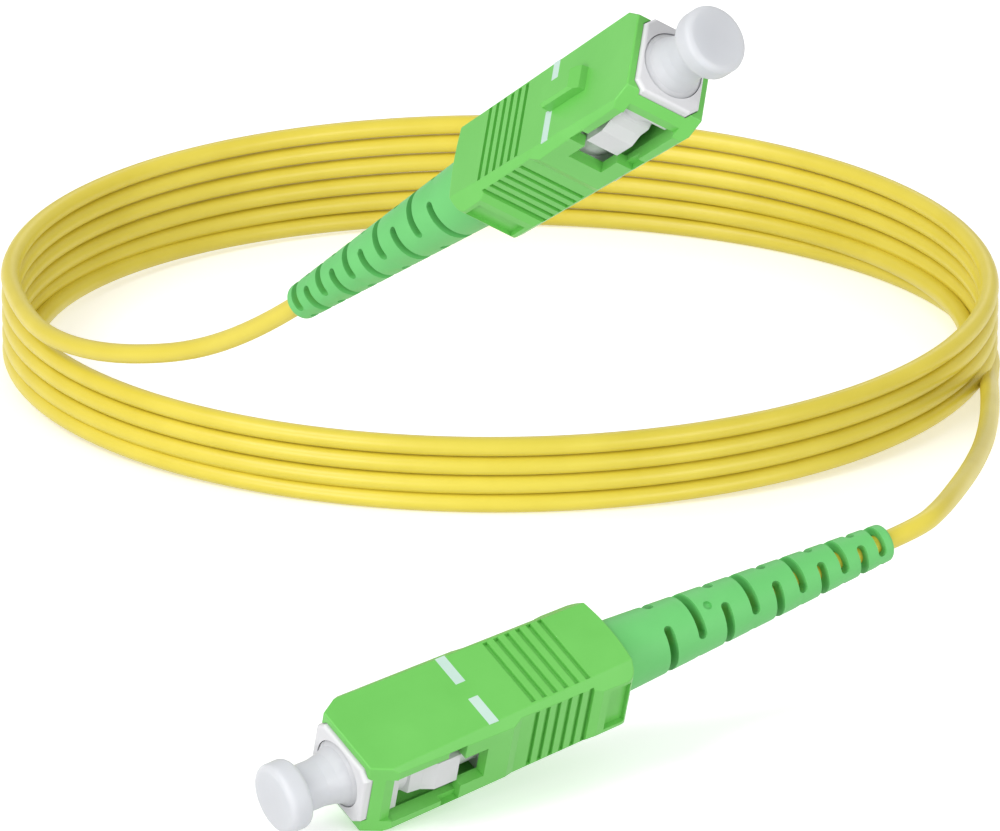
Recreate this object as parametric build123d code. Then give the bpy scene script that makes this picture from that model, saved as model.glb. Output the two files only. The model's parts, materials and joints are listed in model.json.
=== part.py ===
from build123d import *
import math
import os

# Simplex SC/APC to SC/APC fibre optic patch cord: two identical push-pull plugs with
# bend-relief boots and dust caps, on a yellow jacketed cable wound in an oval coil.
# Millimetres, +Z up. The origin is on the floor, under the middle of the two plugs.
#
# Each plug is modelled in its own frame: Z runs along the plug, with the mating face of
# the grip housing at z = 0 and the cable behind it at negative z; Y points to the key;
# X runs across the broad faces, so the two narrow, windowed sides are at +X and -X.

# ---------------------------------------------------------------- driving dimensions
HOUSING_LENGTH = 25.2          # grip housing, mating face to rear face
HOUSING_WIDTH = 9.0            # across the narrow sides (X)
HOUSING_HEIGHT = 7.4           # across the broad faces (Y)
BEVEL_FRONT = 0.35             # along the four long edges, growing towards the rear
BEVEL_REAR = 1.15
NOSE_BEVEL = (1.2, 2.1)        # plan bevel at the mating face: across X, along Z
WAIST_FRONT = 13.0             # behind the mating face
WAIST_REAR = 21.6
WAIST_DEPTH = 0.35             # how far the ribbed waist is set in on the narrow sides
REAR_BOW = 0.5                 # how far the rear face bulges
REAR_CORNER = 0.9              # plan corner radius at the rear
SOFT_EDGE = 0.16               # rounding of the outer edges
CAVITY_WIDTH = 7.0             # square hole for the plug frame
CAVITY_HEIGHT = 6.2
CAVITY_BEVEL = 0.8
CAVITY_STEP = 14.0             # the hole is smaller from here to the rear
STEP_WIDTH, STEP_HEIGHT = 6.3, 5.6
STEP_BEVEL = 0.6
CAVITY_DEPTH = 22.0
GRIP_TRAVEL = 2.0              # the housing slides back this far to unlatch
GROOVES = 6
GROOVE_PITCH = 1.04
GROOVE_WIDTH = 0.44
GROOVE_DEPTH = 0.3
FIRST_GROOVE = 15.4
KEY_WIDTH = 2.15
KEY_HEIGHT = 1.05
KEY_FROM, KEY_TO = 6.3, 11.2   # behind the mating face
WINDOW_FROM, WINDOW_TO = 2.1, 8.5
WINDOW_HEIGHT = 5.0
NOTCH_TO = 10.7                # latch notch behind the window
NOTCH_HEIGHT = 3.2
LABEL_FROM, LABEL_TO = 22.3, 24.3      # blank recess near the rear
LABEL_HEIGHT, LABEL_DEPTH = 4.5, 0.45
MARK_LENGTH, MARK_WIDTH = 3.0, 0.9
MARK_CENTRE = 2.35             # of each mark, from the middle of the broad face
MARK_AT = 11.35                # behind the mating face
MARK_DEPTH = 0.15

FRAME_FIT = 0.05               # between the plug frame and the grip housing
FRAME_PROUD = 0.4              # the frame stands out of the mating face
FRAME_REAR = 17.5
THROAT_FRONT, THROAT_REAR = 3.1, 11.4  # the frame is round and slimmer here
THROAT_DIAMETER = 6.1
BORE_DIAMETER = 5.6            # socket for the alignment sleeve of an adapter
BORE_DEPTH = 7.6
SPRING_BORE = 4.9
WALL_REAR = 8.8                # rear face of the wall that the ferrule flange rests on

FERRULE_DIAMETER = 2.5         # standard SC ferrule
APC_ANGLE = 8.0                # polished end, degrees
FERRULE_TIP, FERRULE_REAR = 0.0, 10.4
FERRULE_TRAVEL = 1.5           # it gives way against its spring when mated
FLANGE_DIAMETER = 4.7
SPRING_WIRE = 0.42
SPRING_REAR = 16.6
FIBER_DIAMETER = 0.9           # tight buffered fibre
JACKET_DIAMETER = 1.65          # outer cable jacket
CRIMP_DIAMETER = 4.0
CRIMP_REAR = 27.4

BOOT_FRONT = 21.0
BOOT_REAR = 52.7
BOOT_BIG, BOOT_SMALL = 6.1, 3.1
SLOT_WIDTH = 0.82
SLOT_SWEEP = 119.0             # degrees, between the centres of its round ends
SLOT_RINGS = 10
FIRST_SLOT = 30.0              # behind the mating face
SLOT_STEP, SLOT_SHRINK = 2.95, 0.945

CAP_HEAD, CAP_HEAD_LENGTH = 5.8, 2.1
CAP_STEM = 3.9
CAP_FLARE = 5.5                # foot of the stem, inside the socket's mouth
CAP_FRONT = 6.4                # in front of the mating face
CAP_DEPTH = 3.4                # how far the stem reaches inside the mating face
CAP_BORE = 2.56

COIL_HALF_WIDTH = 42.6         # centre line of the cable, along X
COIL_HALF_DEPTH = 35.4         # along Y
COIL_BACK_HEIGHT = 10.5        # six turns high at the back
COIL_FRONT_HEIGHT = 6.7        # four high at the front, where one turn lies inside
COIL_CENTRE = (-6.3, 74.1)

# Where each plug lies: the middle of its mating face, the way it points, its key side.
PLUG_A = ((7.2, 3.0, 51.9), (0.569, -0.574, 0.589), (-0.820, -0.255, 0.513))
PLUG_B = ((-18.68, -28.66, 4.79), (-0.8203, -0.5525, -0.1465), (-0.126, 0.425, -0.897))

# The free cable from each boot to the coil. It leaves the boot along the plug's axis,
# for EXIT_A or EXIT_B, and then goes from point to point.
EXIT_A, EXIT_B = 5.5, 3.6
TAIL_A = [(-31.5, 42.3, 13.2), (-37.2, 47.2, 10.9), (-41.8, 52.0, 9.6),
          (-45.6, 57.9, 8.9), (-47.9, 65.4, 8.8), (-48.6, 72.4, 8.8)]
TAIL_B = [(29.3, 6.0, 13.2), (31.0, 13.0, 12.3), (32.6, 22.0, 10.6), (34.1, 33.0, 8.5),
          (35.1, 45.0, 6.2), (35.7, 57.0, 3.8), (36.0, 66.0, 1.3)]

PARTS = "parts"


# ---------------------------------------------------------------- helpers
def slab(width, height, z_front, z_rear, bevel=0.0):
    """A bevelled bar around the plug axis, between two distances behind the mating face."""
    section = bevelled(width, height, bevel) if bevel else Rectangle(width, height)
    return Pos(0, 0, -z_rear) * extrude(section, z_rear - z_front)


def bevelled(width, height, bevel):
    """A rectangle with its four corners cut at 45 degrees."""
    x, y = width / 2, height / 2
    corners = [(x, y - bevel), (x - bevel, y), (bevel - x, y), (-x, y - bevel),
               (-x, bevel - y), (bevel - x, -y), (x - bevel, -y), (x, bevel - y)]
    return make_face(Polyline(*corners, close=True))


def block(width, height, z_front, z_rear, x=0.0, y=0.0):
    """A plain box between two distances behind the mating face."""
    return Pos(x, y, -(z_front + z_rear) / 2) * Box(width, height, z_rear - z_front)


def rod(diameter, z_front, z_rear):
    """A cylinder on the plug axis between two distances behind the mating face."""
    return Pos(0, 0, -(z_front + z_rear) / 2) * Cylinder(diameter / 2, z_rear - z_front)


def turned(outline):
    """A solid of revolution from (radius, distance behind the mating face) points."""
    points = [(radius, 0, -distance) for radius, distance in outline]
    return revolve(make_face(Polyline(*points, close=True)), Axis.Z)


def mirrored_x(shape):
    return [shape, mirror(shape, Plane.YZ)]


# ---------------------------------------------------------------- pieces of a plug
def housing_outline():
    """Outer body of the grip housing: waisted in plan, with a bowed, rounded rear."""
    half = HOUSING_WIDTH / 2
    waist = half - WAIST_DEPTH
    across, along = NOSE_BEVEL
    right = [(half - across, 0), (half, -along), (half, -WAIST_FRONT),
             (waist, -WAIST_FRONT - 0.9), (waist, 1.2 - WAIST_REAR), (half, -WAIST_REAR),
             (half, REAR_BOW - HOUSING_LENGTH)]
    left = [(-x, z) for x, z in right]
    rim = [Plane.XZ * Polyline(*left[::-1], *right),
           Plane.XZ * ThreePointArc(right[-1], (0, -HOUSING_LENGTH), left[-1])]
    body = extrude(make_face(rim), HOUSING_HEIGHT / 2, both=True)
    rear_corners = body.edges().filter_by(Axis.Y).group_by(Axis.Z)[0]
    body = fillet(rear_corners, REAR_CORNER)
    rear = Pos(0, 0, -HOUSING_LENGTH) * bevelled(HOUSING_WIDTH, HOUSING_HEIGHT, BEVEL_REAR)
    body &= loft([rear, bevelled(HOUSING_WIDTH, HOUSING_HEIGHT, BEVEL_FRONT)])
    return fillet(body.edges(), SOFT_EDGE)


def grooves():
    """Finger grooves across the four faces of the waist; they stop short of the bevels."""
    bars = []
    for number in range(GROOVES):
        front = FIRST_GROOVE + number * GROOVE_PITCH - GROOVE_WIDTH / 2
        rear = front + GROOVE_WIDTH
        for side in (1, -1):
            face = side * HOUSING_HEIGHT / 2
            flank = side * (HOUSING_WIDTH / 2 - WAIST_DEPTH)
            bars.append(block(HOUSING_WIDTH - 2.0, 2 * GROOVE_DEPTH, front, rear, 0, face))
            bars.append(block(2 * GROOVE_DEPTH, HOUSING_HEIGHT - 1.2, front, rear, flank))
    return bars


def key_rib():
    """The polarity key, with its sloped nose."""
    base, top = HOUSING_HEIGHT / 2 - 0.2, HOUSING_HEIGHT / 2 + KEY_HEIGHT
    side = [(base, -KEY_FROM), (top - 0.5, -KEY_FROM - 0.2), (top, -KEY_FROM - 1.1),
            (top, -KEY_TO), (base, -KEY_TO)]
    rib = extrude(make_face(Plane.YZ * Polyline(*side, close=True)), KEY_WIDTH / 2, both=True)
    return chamfer(rib.edges().filter_by(Axis.Z).group_by(Axis.Y)[-1], 0.25)


def mark_pockets(depth):
    """The four index marks on the broad faces, as flat bars."""
    bars = []
    surface = HOUSING_HEIGHT / 2
    for side in (1, -1):
        for x in (MARK_CENTRE, -MARK_CENTRE):
            bars.append(block(MARK_LENGTH, depth, MARK_AT - MARK_WIDTH / 2,
                              MARK_AT + MARK_WIDTH / 2, x, side * (surface - depth / 2)))
    return bars


def side_openings():
    """Latch windows, their shallow surround and the blank label recess, on one side."""
    surface = HOUSING_WIDTH / 2
    channel = block(1.0, WINDOW_HEIGHT - 0.2, -0.5, WINDOW_FROM + 0.2, surface)
    window = block(4.0, WINDOW_HEIGHT, WINDOW_FROM, WINDOW_TO, surface)
    relief = block(1.2, WINDOW_HEIGHT + 1.2, WINDOW_TO - 1.7, WINDOW_TO, surface)
    notch = block(4.0, NOTCH_HEIGHT, WINDOW_TO - 0.5, NOTCH_TO, surface)
    label = block(2 * LABEL_DEPTH, LABEL_HEIGHT, LABEL_FROM, LABEL_TO, surface)
    return [channel, window, relief, notch, label]


def grip_housing():
    body = housing_outline() + key_rib()
    body -= grooves()
    body -= slab(CAVITY_WIDTH, CAVITY_HEIGHT, -1, CAVITY_STEP, CAVITY_BEVEL)
    body -= slab(STEP_WIDTH, STEP_HEIGHT, CAVITY_STEP - 1, CAVITY_DEPTH, STEP_BEVEL)
    body -= rod(BOOT_BIG + 0.3, BOOT_FRONT - GRIP_TRAVEL - 0.2, HOUSING_LENGTH + 1)
    for opening in side_openings():
        body -= mirrored_x(opening)
    return body - mark_pockets(MARK_DEPTH)


def index_marks():
    return Compound(children=mark_pockets(MARK_DEPTH))


def plug_frame():
    """White inner body: square nose with a round socket, latch humps, spring chamber."""
    width = CAVITY_WIDTH - 2 * FRAME_FIT
    height = CAVITY_HEIGHT - 2 * FRAME_FIT
    body = slab(width, height, -FRAME_PROUD, CAVITY_STEP - 0.1, CAVITY_BEVEL)
    body = fillet(body.faces().sort_by(Axis.Z)[-1].edges(), 0.3)
    body += slab(STEP_WIDTH - 2 * FRAME_FIT, STEP_HEIGHT - 2 * FRAME_FIT, CAVITY_STEP - 1,
                 FRAME_REAR, STEP_BEVEL)
    throat = block(width + 1, height + 1, THROAT_FRONT, THROAT_REAR)
    body -= throat - rod(THROAT_DIAMETER, THROAT_FRONT - 1, THROAT_REAR + 1)
    hump = [(2.6, -3.9), (3.25, -4.3), (3.35, -5.4), (3.9, -6.4), (3.9, -8.5), (2.6, -9.4)]
    latch = make_face(Plane.XZ * Polyline(*hump, close=True))
    body += mirrored_x(extrude(latch, 1.5, both=True))
    body -= rod(BORE_DIAMETER, -1, BORE_DEPTH)
    body -= rod(FERRULE_DIAMETER + 0.5, BORE_DEPTH - 1, WALL_REAR + 1)
    return body - rod(SPRING_BORE, WALL_REAR, FRAME_REAR + 1)


def ferrule():
    """Zirconia ferrule with its chamfered rim and the angled polish of an APC end."""
    body = rod(FERRULE_DIAMETER, FERRULE_TIP - 0.2, FERRULE_REAR)
    body = chamfer(body.faces().sort_by(Axis.Z)[-1].edges(), 0.45)
    polish = Pos(0, 0, FERRULE_TIP) * Rot(-APC_ANGLE, 0, 0) * Pos(0, 0, 2) * Box(6, 6, 4)
    return body - polish


def ferrule_flange():
    seat = WALL_REAR + 0.05
    outline = [(FERRULE_DIAMETER / 2, seat), (FLANGE_DIAMETER / 2, seat),
               (FLANGE_DIAMETER / 2, seat + 1.9), (1.5, seat + 1.9), (1.5, 13.2),
               (0.52, 13.2), (0.52, FERRULE_REAR), (FERRULE_DIAMETER / 2, FERRULE_REAR)]
    body = turned(outline)
    slots = [block(0.8, 1.0, seat - 0.1, seat + 2.0, 0, side * 2.25) for side in (1, -1)]
    return body - slots


def ferrule_spring():
    """Compression spring between the flange and the stop ring."""
    front = WALL_REAR + 1.95 + SPRING_WIRE / 2 + 0.02
    height = SPRING_REAR - SPRING_WIRE / 2 - 0.02 - front
    radius = 1.95
    path = Helix(pitch=height / 4.5, height=height, radius=radius)
    coil = sweep(Plane(path @ 0, z_dir=path % 0) * Circle(SPRING_WIRE / 2), path=path)
    return Pos(0, 0, -front - height) * coil


def stop_ring():
    """Rear body: closes the spring chamber and carries the crimp."""
    outline = [(0.95, SPRING_REAR), (SPRING_BORE / 2 - 0.02, SPRING_REAR),
               (SPRING_BORE / 2 - 0.02, FRAME_REAR), (2.7, FRAME_REAR), (2.7, 19.2),
               (1.5, 19.2), (1.5, 25.0), (0.95, 25.0)]
    return turned(outline)


def aramid_yarn():
    """Strength yarn folded over the stop ring's tail, under the crimp."""
    return rod(3.6, 19.4, 24.8) - rod(3.0, 19.0, 25.2)


def crimp_sleeve():
    neck = JACKET_DIAMETER / 2
    outline = [(1.8, 19.3), (CRIMP_DIAMETER / 2, 19.3), (CRIMP_DIAMETER / 2, 25.3),
               (1.2, 26.0), (1.2, CRIMP_REAR), (neck, CRIMP_REAR), (neck, 25.4),
               (1.8, 25.1)]
    return turned(outline)


def cable_end():
    """The stripped end of the jacket, inside the boot."""
    return rod(JACKET_DIAMETER, 25.6, BOOT_REAR) - rod(FIBER_DIAMETER, 25, BOOT_REAR + 1)


def buffered_fiber():
    """Tight buffered fibre; it stops short of the ferrule by a little over its travel."""
    return rod(FIBER_DIAMETER, FERRULE_REAR + FERRULE_TRAVEL + 0.2, BOOT_REAR)


def slot_positions():
    """Distance behind the mating face of each ring of slots; the rings close up."""
    at, step = FIRST_SLOT, SLOT_STEP
    for number in range(SLOT_RINGS):
        yield number, at
        at, step = at + step, step * SLOT_SHRINK


def boot_slot(at, middle):
    """One round-ended slot through the boot wall, centred on an angle in degrees."""
    inner, outer = JACKET_DIAMETER / 2 - 0.2, BOOT_BIG
    corners = [(inner, 0, -SLOT_WIDTH / 2), (outer, 0, -SLOT_WIDTH / 2),
               (outer, 0, SLOT_WIDTH / 2), (inner, 0, SLOT_WIDTH / 2)]
    sector = revolve(make_face(Polyline(*corners, close=True)), Axis.Z, SLOT_SWEEP)
    pin = Pos((inner + outer) / 2, 0, 0) * Rot(0, 90, 0)
    pin *= Cylinder(SLOT_WIDTH / 2, outer - inner)
    ends = [Rot(0, 0, angle) * pin for angle in (0, SLOT_SWEEP)]
    return Pos(0, 0, -at) * Rot(0, 0, middle - SLOT_SWEEP / 2) * (sector + ends)


def boot():
    """Segmented bend-relief boot; its slots alternate between the sides and the faces."""
    mouth = JACKET_DIAMETER / 2 + 0.05
    outline = [(CRIMP_DIAMETER / 2 + 0.02, BOOT_FRONT), (BOOT_BIG / 2, BOOT_FRONT),
               (BOOT_BIG / 2, HOUSING_LENGTH + 0.6), (BOOT_SMALL / 2, BOOT_REAR),
               (mouth, BOOT_REAR), (mouth, 30.6), (1.25, 29.0),
               (CRIMP_DIAMETER / 2 + 0.02, 26.6)]
    body = turned(outline)
    body = fillet(body.faces().sort_by(Axis.Z)[0].outer_wire().edges(), 0.35)
    for number, at in slot_positions():
        first = 0 if number % 2 == 0 else 90
        body -= [boot_slot(at, first), boot_slot(at, first + 180)]
    gate_mark = Rot(0, 0, -15) * Pos(0, -2.9, -34.3) * Rot(90, 0, 0) * Cylinder(0.38, 1.2)
    return body - gate_mark


def dust_cap():
    """Soft cap that grips the ferrule, with a round pull-off head."""
    front, back = -CAP_FRONT, CAP_HEAD_LENGTH - CAP_FRONT
    flare = CAP_FLARE / 2
    outline = [(0, front), (CAP_HEAD / 2, front), (CAP_HEAD / 2, back), (CAP_STEM / 2, back),
               (CAP_STEM / 2, -2.4), (CAP_STEM / 2 + 0.15, -1.5), (flare - 0.35, -0.6),
               (flare, -0.3), (flare, CAP_DEPTH), (0, CAP_DEPTH)]
    body = turned(outline)
    head_rims = body.edges().filter_by(GeomType.CIRCLE).filter_by(
        lambda rim: abs(rim.radius - CAP_HEAD / 2) < 0.01)
    body = fillet(head_rims, 0.55)
    return body - rod(CAP_BORE, -0.6, CAP_DEPTH + 1)


PLUG_PIECES = {
    "grip_housing": grip_housing,
    "index_marks": index_marks,
    "plug_frame": plug_frame,
    "ferrule": ferrule,
    "ferrule_flange": ferrule_flange,
    "ferrule_spring": ferrule_spring,
    "buffered_fiber": buffered_fiber,
    "stop_ring": stop_ring,
    "aramid_yarn": aramid_yarn,
    "crimp_sleeve": crimp_sleeve,
    "cable_end": cable_end,
    "boot": boot,
    "dust_cap": dust_cap,
}


# ---------------------------------------------------------------- cable
def plug_place(plug):
    """Location of a plug's own frame in the model."""
    middle, along, key = plug
    axis, up = Vector(*along).normalized(), Vector(*key)
    return Location(Plane(origin=middle, x_dir=up.cross(axis), z_dir=axis))


def arc_radii(points):
    """The largest tangent arc at each corner that its two runs leave room for."""
    radii = []
    for before, corner, after in zip(points, points[1:], points[2:]):
        turn = (corner - before).get_angle(after - corner)
        shorter = min((corner - before).length, (after - corner).length)
        radii.append(0.45 * shorter / math.tan(math.radians(turn) / 2))
    return radii


def cable_tail(name, plug, exit_run, route):
    """The free cable from the boot to the coil, as runs joined by tangent arcs."""
    middle, along, _ = plug
    axis = Vector(*along).normalized()
    mouth = Vector(*middle) - axis * BOOT_REAR
    points = [mouth, mouth - axis * exit_run] + [Vector(*point) for point in route]
    radii = arc_radii(points)
    path = FilletPolyline(*points, radius=radii)
    start = Plane(origin=path @ 0, z_dir=path % 0)
    tube = sweep(start * Circle(JACKET_DIAMETER / 2), path=path)
    section = math.pi * JACKET_DIAMETER ** 2 / 4
    print(name, "radii", [round(radius, 1) for radius in radii],
          "length", round(path.length, 1),
          "volume / (section x length)", round(tube.volume / (section * path.length), 4))
    return tube


def cable_coil():
    """The outer shape of the wound turns: one oval ring, lower at the front."""
    half = JACKET_DIAMETER / 2
    depth = COIL_HALF_DEPTH + half
    outer = Ellipse(COIL_HALF_WIDTH + half, depth)
    inner = Ellipse(COIL_HALF_WIDTH - half, COIL_HALF_DEPTH - half)
    ring = extrude(outer - inner, COIL_BACK_HEIGHT)
    side = [(-depth, 0), (depth, 0), (depth, COIL_BACK_HEIGHT), (-depth, COIL_FRONT_HEIGHT)]
    wedge = extrude(make_face(Plane.YZ * Polyline(*side, close=True)), depth * 2, both=True)
    return Pos(*COIL_CENTRE, 0) * (ring & wedge)


# ---------------------------------------------------------------- the whole cord
def save(name, shape):
    export_step(shape, os.path.join(PARTS, name + ".step"))


os.makedirs(PARTS, exist_ok=True)
for piece, build in PLUG_PIECES.items():
    shape = build()
    for letter, plug in (("a", PLUG_A), ("b", PLUG_B)):
        save(piece + "_" + letter, plug_place(plug) * shape)

save("cable_tail_a", cable_tail("cable_tail_a", PLUG_A, EXIT_A, TAIL_A))
save("cable_tail_b", cable_tail("cable_tail_b", PLUG_B, EXIT_B, TAIL_B))
save("cable_coil", cable_coil())
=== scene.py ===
"""Simplex fibre optic patch cord: cable, springs, materials, light and camera around the CAD.

Places and sizes are in millimetres, in the frame of the CAD, until they reach Blender.
"""
import json
import math

import bpy
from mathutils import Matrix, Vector

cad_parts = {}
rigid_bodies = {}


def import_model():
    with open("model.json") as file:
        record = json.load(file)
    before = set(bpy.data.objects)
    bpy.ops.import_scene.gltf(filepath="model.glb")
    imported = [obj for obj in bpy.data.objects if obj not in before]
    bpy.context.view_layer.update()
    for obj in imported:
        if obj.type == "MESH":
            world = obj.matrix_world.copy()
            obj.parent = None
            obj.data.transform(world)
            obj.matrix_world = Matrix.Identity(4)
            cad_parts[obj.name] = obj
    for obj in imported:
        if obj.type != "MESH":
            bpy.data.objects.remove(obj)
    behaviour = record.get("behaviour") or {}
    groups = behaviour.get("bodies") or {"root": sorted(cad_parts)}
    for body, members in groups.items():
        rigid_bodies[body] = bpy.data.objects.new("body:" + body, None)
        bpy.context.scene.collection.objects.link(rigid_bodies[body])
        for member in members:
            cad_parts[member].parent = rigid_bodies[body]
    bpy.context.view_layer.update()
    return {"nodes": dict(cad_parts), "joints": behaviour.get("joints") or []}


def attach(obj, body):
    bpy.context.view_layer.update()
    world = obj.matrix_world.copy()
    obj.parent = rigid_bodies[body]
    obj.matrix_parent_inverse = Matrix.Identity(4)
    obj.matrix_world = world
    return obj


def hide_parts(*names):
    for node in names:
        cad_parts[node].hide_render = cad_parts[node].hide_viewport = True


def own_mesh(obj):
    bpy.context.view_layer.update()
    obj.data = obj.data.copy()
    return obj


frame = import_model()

MM = 0.001

# ---------------------------------------------------------------- cable
JACKET_DIAMETER = 1.65

# The route of the free cable, from each boot's mouth to the coil.
MOUTH_A, LEAVE_A = (-22.78, 33.25, 20.86), (-25.91, 36.4, 17.62)
TAIL_A = [(-31.5, 42.3, 13.2), (-37.2, 47.2, 10.9), (-41.8, 52.0, 9.6),
          (-45.6, 57.9, 8.9), (-47.9, 65.4, 8.8)]
MOUTH_B, LEAVE_B = (24.56, 0.46, 12.51), (27.51, 2.45, 13.04)
TAIL_B = [(29.3, 6.0, 13.2), (31.0, 13.0, 12.3), (32.6, 22.0, 10.6), (34.1, 33.0, 8.5),
          (35.1, 45.0, 6.2), (35.7, 57.0, 3.8), (36.0, 66.0, 1.3)]

COIL_CENTRE = (-6.3, 74.1)
COIL_HALF_WIDTH = 42.6
COIL_HALF_DEPTH = 35.4
COIL_TURNS = 5.5
COIL_POINTS_PER_TURN = 24
BACK_TOP, BACK_STEP = 9.7, 1.75      # height of the first strand at the back, and spacing
FRONT_TOP, FRONT_STEP = 5.9, 1.7     # the same at the front
BACK_TURN, FRONT_TURN = 0.25, 0.75   # how far round from the left end these two are
FLOOR_STRAND = 0.82                  # height of a strand that lies on the floor

# One half turn at the front is tucked in behind the others. It leans on them.
TUCK_IN, TUCK_OUT = (4.3, 4.55), (4.95, 5.2)     # in turns from the start of the coil
TUCK_CLEARANCE = 0.15
TUCK_LIFT = 0.4

# ---------------------------------------------------------------- springs inside the plugs
MATING_FACE = {"a": (7.2, 3.0, 51.9), "b": (-18.68, -28.66, 4.79)}
SPRING_FRONT, SPRING_REAR = 10.98, 16.37         # behind the mating face
SPRING_RADIUS, SPRING_WIRE = 1.95, 0.42
SPRING_TURNS, SPRING_POINTS_PER_TURN = 4.5, 16

# ---------------------------------------------------------------- finishes
DRIFT_SIZE = 6.0                     # of the slow colour changes
GLOSS_SPREAD = 0.05                  # roughness, either way
GRAIN_STRENGTH = 0.25
MILKY = {"Subsurface Weight": 0.6, "Subsurface Radius": (0.9, 0.95, 1.0),
         "Subsurface Scale": 2.5 * MM, "Transmission Weight": 0.12}
METAL = {"Metallic": 1.0}

# Name, darkest and lightest colour as 8-bit display values, roughness, grain size, grain
# depth, and what else the shader is set to.
JACKET = ("jacket_yellow", (217, 198, 60), (224, 206, 71), 0.4, 0.35, 0.012,
          {"Coat Weight": 0.15, "Coat Roughness": 0.3})
SPRING_STEEL = ("spring_steel", (172, 172, 176), (180, 180, 184), 0.25, 0.2, 0.006, METAL)
FINISHES = {
    "grip_housing": ("housing_green", (103, 189, 82), (109, 195, 88), 0.38, 0.25, 0.010, {}),
    "boot": ("boot_green", (100, 191, 104), (106, 197, 110), 0.5, 0.30, 0.014, {}),
    "plug_frame": ("frame_white", (209, 209, 211), (217, 217, 219), 0.35, 0.30, 0.008, {}),
    "dust_cap": ("cap_milky", (209, 211, 215), (216, 218, 222), 0.42, 0.40, 0.008, MILKY),
    "index_marks": ("mark_pale", (184, 212, 200), (196, 222, 210), 0.5, 0.2, 0.010, {}),
    "ferrule": ("zirconia_white", (236, 234, 228), (242, 240, 235), 0.12, 0.6, 0.002, {}),
    "ferrule_flange": ("flange_nickel", (192, 190, 184), (200, 198, 192), 0.3, 0.3, 0.006,
                       METAL),
    "stop_ring": ("stop_ring_nickel", (182, 180, 174), (190, 188, 182), 0.32, 0.3, 0.006,
                  METAL),
    "crimp_sleeve": ("crimp_brass", (202, 172, 100), (210, 180, 108), 0.35, 0.3, 0.006,
                     METAL),
    "aramid_yarn": ("yarn_gold", (214, 180, 70), (238, 208, 104), 0.6, 0.12, 0.05, {}),
    "buffered_fiber": ("buffer_white", (226, 226, 222), (236, 236, 232), 0.4, 0.3, 0.006, {}),
    "cable_end": JACKET,
}

# ---------------------------------------------------------------- camera, floor and light
VIEW_TARGET = (-6.3, 68.4, -2.7)     # what the middle of the picture looks at
VIEW_DISTANCE = 900.0
VIEW_ELEVATION = 21.0
VIEW_FIELD = 86.96                   # width of the picture at the target
SENSOR = 36.0

# From here on in metres: the lamps' places, sizes across and watts.
FLOOR_WIDTH = 6.0
FLOOR_DARK, FLOOR_LIGHT = (250, 250, 250), (253, 253, 253)
FLOOR_GLOW = 0.34
WORLD_LIGHT = 0.64
LAMP_TARGET = (0.0, 0.03, 0.0)
LAMPS = {
    "key": ((-0.42, -0.32, 0.52), 0.35, 2.0),
    "fill": ((0.5, -0.62, 0.1), 0.5, 3.0),
    "low_front": ((-0.5, -0.68, 0.02), 0.45, 4.3),
    "rim": ((0.1, 0.75, 0.5), 0.4, 0.5),
}


def show(piece):
    bpy.context.scene.collection.objects.link(piece)
    return piece


def make_camera():
    data = bpy.data.cameras.new("camera")
    data.sensor_width = SENSOR
    data.lens = SENSOR * VIEW_DISTANCE / VIEW_FIELD
    data.clip_start, data.clip_end = 0.01, 20.0
    camera = show(bpy.data.objects.new("camera", data))
    tilt = math.radians(VIEW_ELEVATION)
    back = Vector((0, -math.cos(tilt), math.sin(tilt)))
    camera.location = (Vector(VIEW_TARGET) + back * VIEW_DISTANCE) * MM
    camera.rotation_euler = (math.pi / 2 - tilt, 0, 0)
    bpy.context.scene.camera = camera


# ---------------------------------------------------------------- curves
def tube_curve(name, points, diameter, steps, round_steps):
    """A round tube on one smooth NURBS spline; the points are its control points."""
    curve = bpy.data.curves.new(name, "CURVE")
    curve.dimensions = "3D"
    spline = curve.splines.new("NURBS")
    spline.points.add(len(points) - 1)
    for control, place in zip(spline.points, points):
        control.co = (*(Vector(place) * MM), 1.0)
    spline.order_u = 3
    spline.use_endpoint_u = True
    spline.resolution_u = steps
    curve.bevel_depth = diameter / 2 * MM
    curve.bevel_resolution = round_steps
    curve.use_fill_caps = True
    return curve


def smooth_step(value, low, high):
    share = min(max((value - low) / (high - low), 0.0), 1.0)
    return share * share * (3 - 2 * share)


def coil_points():
    """The wound turns: left end, back, right, front, and so on down to the right end.

    The back of each turn lies higher than its front.
    """
    # A spline cuts inside its control points, so they lie a little outside the oval.
    grow = 1 / math.cos(math.pi / COIL_POINTS_PER_TURN)
    points = []
    for number in range(round(COIL_TURNS * COIL_POINTS_PER_TURN) + 1):
        turn = number / COIL_POINTS_PER_TURN
        angle = math.pi - 2 * math.pi * turn
        back = BACK_TOP - BACK_STEP * (turn - BACK_TURN)
        front = max(FRONT_TOP - FRONT_STEP * (turn - FRONT_TURN), FLOOR_STRAND)
        lean = (1 + math.sin(angle)) / 2
        height = max(front + (back - front) * lean, FLOOR_STRAND)
        tuck = smooth_step(turn, *TUCK_IN) - smooth_step(turn, *TUCK_OUT)
        inward = tuck * (JACKET_DIAMETER + TUCK_CLEARANCE)
        points.append((COIL_CENTRE[0] + (COIL_HALF_WIDTH * grow - inward) * math.cos(angle),
                       COIL_CENTRE[1] + (COIL_HALF_DEPTH * grow - inward) * math.sin(angle),
                       height + TUCK_LIFT * tuck))
    return points


def make_cable():
    """The whole cord, from one boot through the coil to the other."""
    route = [MOUTH_A, LEAVE_A] + TAIL_A + coil_points() + TAIL_B[::-1] + [LEAVE_B, MOUTH_B]
    curve = tube_curve("cable", route, JACKET_DIAMETER, 8, 8)
    curve.materials.append(grained(*JACKET))
    cable = show(bpy.data.objects.new("cable", curve))
    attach(cable, "cord")
    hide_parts("cable_coil", "cable_tail_a", "cable_tail_b")


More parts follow.
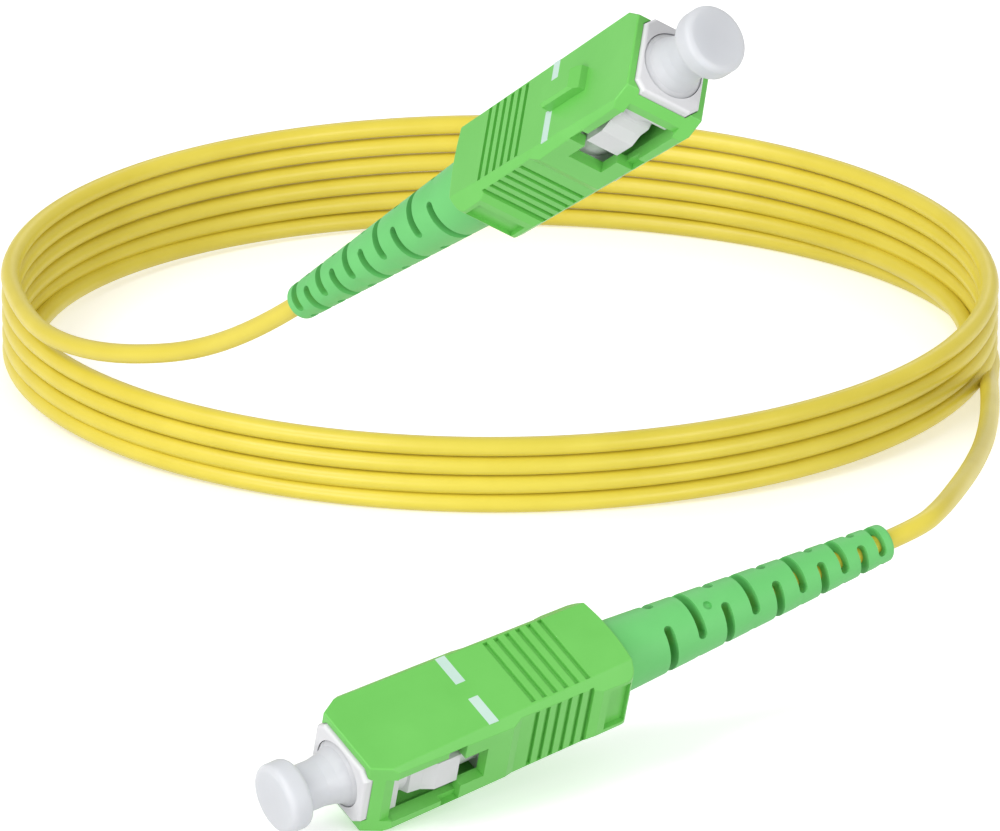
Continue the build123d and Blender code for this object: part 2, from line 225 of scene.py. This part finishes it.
def helix_points(face, back):
    """Along the spring's wire, wound around the line that runs back from the mating face."""
    turned = back.to_track_quat("Z", "Y")
    steps = round(SPRING_TURNS * SPRING_POINTS_PER_TURN)
    points = []
    for number in range(steps + 1):
        angle = 2 * math.pi * number / SPRING_POINTS_PER_TURN
        along = SPRING_FRONT + (SPRING_REAR - SPRING_FRONT) * number / steps
        points.append(face + turned @ Vector((SPRING_RADIUS * math.cos(angle),
                                              SPRING_RADIUS * math.sin(angle), along)))
    return points


def make_spring(joint, material):
    """A coil spring behind the ferrule, wound at an even pitch and fixed to the joint's
    parent body.
    """
    letter = joint["name"][-1]
    face, back = Vector(MATING_FACE[letter]), Vector(joint["axis"]).normalized()
    curve = tube_curve("spring", helix_points(face, back), SPRING_WIRE, 3, 3)
    wire = bpy.data.objects.new("wire", curve)
    mesh = bpy.data.meshes.new_from_object(wire)
    mesh.materials.clear()
    mesh.materials.append(material)
    mesh.shade_smooth()
    bpy.data.objects.remove(wire)
    bpy.data.curves.remove(curve)
    spring = show(bpy.data.objects.new("spring_" + letter, mesh))
    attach(spring, joint["parent"])
    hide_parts("ferrule_spring_" + letter)
    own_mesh(spring)


def make_springs():
    steel = grained(*SPRING_STEEL)
    for joint in frame["joints"]:
        if joint["name"].startswith("ferrule_float"):
            make_spring(joint, steel)


# ---------------------------------------------------------------- materials
def linear(red, green, blue):
    """Scene-linear colour from 8-bit display values."""
    def one(value):
        value /= 255
        return value / 12.92 if value <= 0.04045 else ((value + 0.055) / 1.055) ** 2.4
    return (one(red), one(green), one(blue), 1.0)


class Shader:
    """A small helper to build a node material."""

    def __init__(self, name):
        self.material = bpy.data.materials.new(name)
        self.material.use_nodes = True
        self.tree = self.material.node_tree
        self.surface = self.tree.nodes["Principled BSDF"]
        self.place = self.tree.nodes.new("ShaderNodeTexCoord").outputs["Object"]

    def link(self, source, target):
        self.tree.links.new(source, target)

    def noise(self, scale, detail=3.0):
        """Noise over the object; scale is in features per metre."""
        node = self.tree.nodes.new("ShaderNodeTexNoise")
        node.inputs["Scale"].default_value = scale
        node.inputs["Detail"].default_value = detail
        self.link(self.place, node.inputs["Vector"])
        return node.outputs["Fac"]

    def ramp(self, source, low, high):
        """Colour between two colours over a noise value."""
        node = self.tree.nodes.new("ShaderNodeValToRGB")
        node.color_ramp.elements[0].position = 0.3
        node.color_ramp.elements[1].position = 0.7
        node.color_ramp.elements[0].color = low
        node.color_ramp.elements[1].color = high
        self.link(source, node.inputs["Fac"])
        return node.outputs["Color"]

    def spread(self, source, low, high):
        """A number between two limits over a noise value."""
        node = self.tree.nodes.new("ShaderNodeMapRange")
        node.inputs["To Min"].default_value = low
        node.inputs["To Max"].default_value = high
        self.link(source, node.inputs["Value"])
        return node.outputs["Result"]

    def bump(self, source, strength, depth_mm):
        node = self.tree.nodes.new("ShaderNodeBump")
        node.inputs["Strength"].default_value = strength
        node.inputs["Distance"].default_value = depth_mm * MM
        self.link(source, node.inputs["Height"])
        self.link(node.outputs["Normal"], self.surface.inputs["Normal"])

    def set(self, settings):
        for name, value in settings.items():
            self.surface.inputs[name].default_value = value


def grained(name, dark, light, rough, grain_size, grain_depth, settings):
    """A material with a slight colour drift, a fine grain and an uneven gloss."""
    shader = Shader(name)
    drift = shader.noise(1 / (DRIFT_SIZE * MM))
    shader.link(shader.ramp(drift, linear(*dark), linear(*light)),
                shader.surface.inputs["Base Color"])
    grain = shader.noise(1 / (grain_size * MM), 4.0)
    shader.link(shader.spread(grain, rough - GLOSS_SPREAD, rough + GLOSS_SPREAD),
                shader.surface.inputs["Roughness"])
    shader.bump(grain, GRAIN_STRENGTH, grain_depth)
    shader.set(settings)
    return shader.material


def dress_plugs():
    """Give both plugs' CAD nodes their finishes; like nodes share one."""
    for piece, look in FINISHES.items():
        material = grained(*look)
        for letter in "ab":
            mesh = frame["nodes"][f"{piece}_{letter}"].data
            mesh.materials.clear()
            mesh.materials.append(material)


# ---------------------------------------------------------------- floor and light
def make_floor():
    bpy.ops.mesh.primitive_plane_add(size=FLOOR_WIDTH, location=(0, 0, 0))
    floor = bpy.context.object
    floor.name = "floor"
    shader = Shader("floor_pale")
    tint = shader.ramp(shader.noise(2.0), linear(*FLOOR_DARK), linear(*FLOOR_LIGHT))
    shader.link(tint, shader.surface.inputs["Base Color"])
    shader.set({"Roughness": 0.8, "Emission Color": (1.0, 1.0, 1.0, 1.0),
                "Emission Strength": FLOOR_GLOW})
    floor.data.materials.append(shader.material)
    floor.visible_diffuse = False        # it throws no coloured light back at the cable


def make_light():
    world = bpy.data.worlds.new("studio")
    world.use_nodes = True
    sky = world.node_tree.nodes["Background"]
    sky.inputs["Color"].default_value = (1.0, 1.0, 1.0, 1.0)
    sky.inputs["Strength"].default_value = WORLD_LIGHT
    bpy.context.scene.world = world
    for name, (place, size, power) in LAMPS.items():
        data = bpy.data.lights.new(name, "AREA")
        data.shape = "DISK"
        data.size = size
        data.energy = power
        lamp = show(bpy.data.objects.new(name, data))
        lamp.location = place
        aim = Vector(LAMP_TARGET) - Vector(place)
        lamp.rotation_euler = aim.to_track_quat("-Z", "Y").to_euler()


# ---------------------------------------------------------------- scene
make_camera()
make_cable()
make_springs()
dress_plugs()
make_floor()
make_light()
bpy.context.scene.view_settings.view_transform = "Standard"
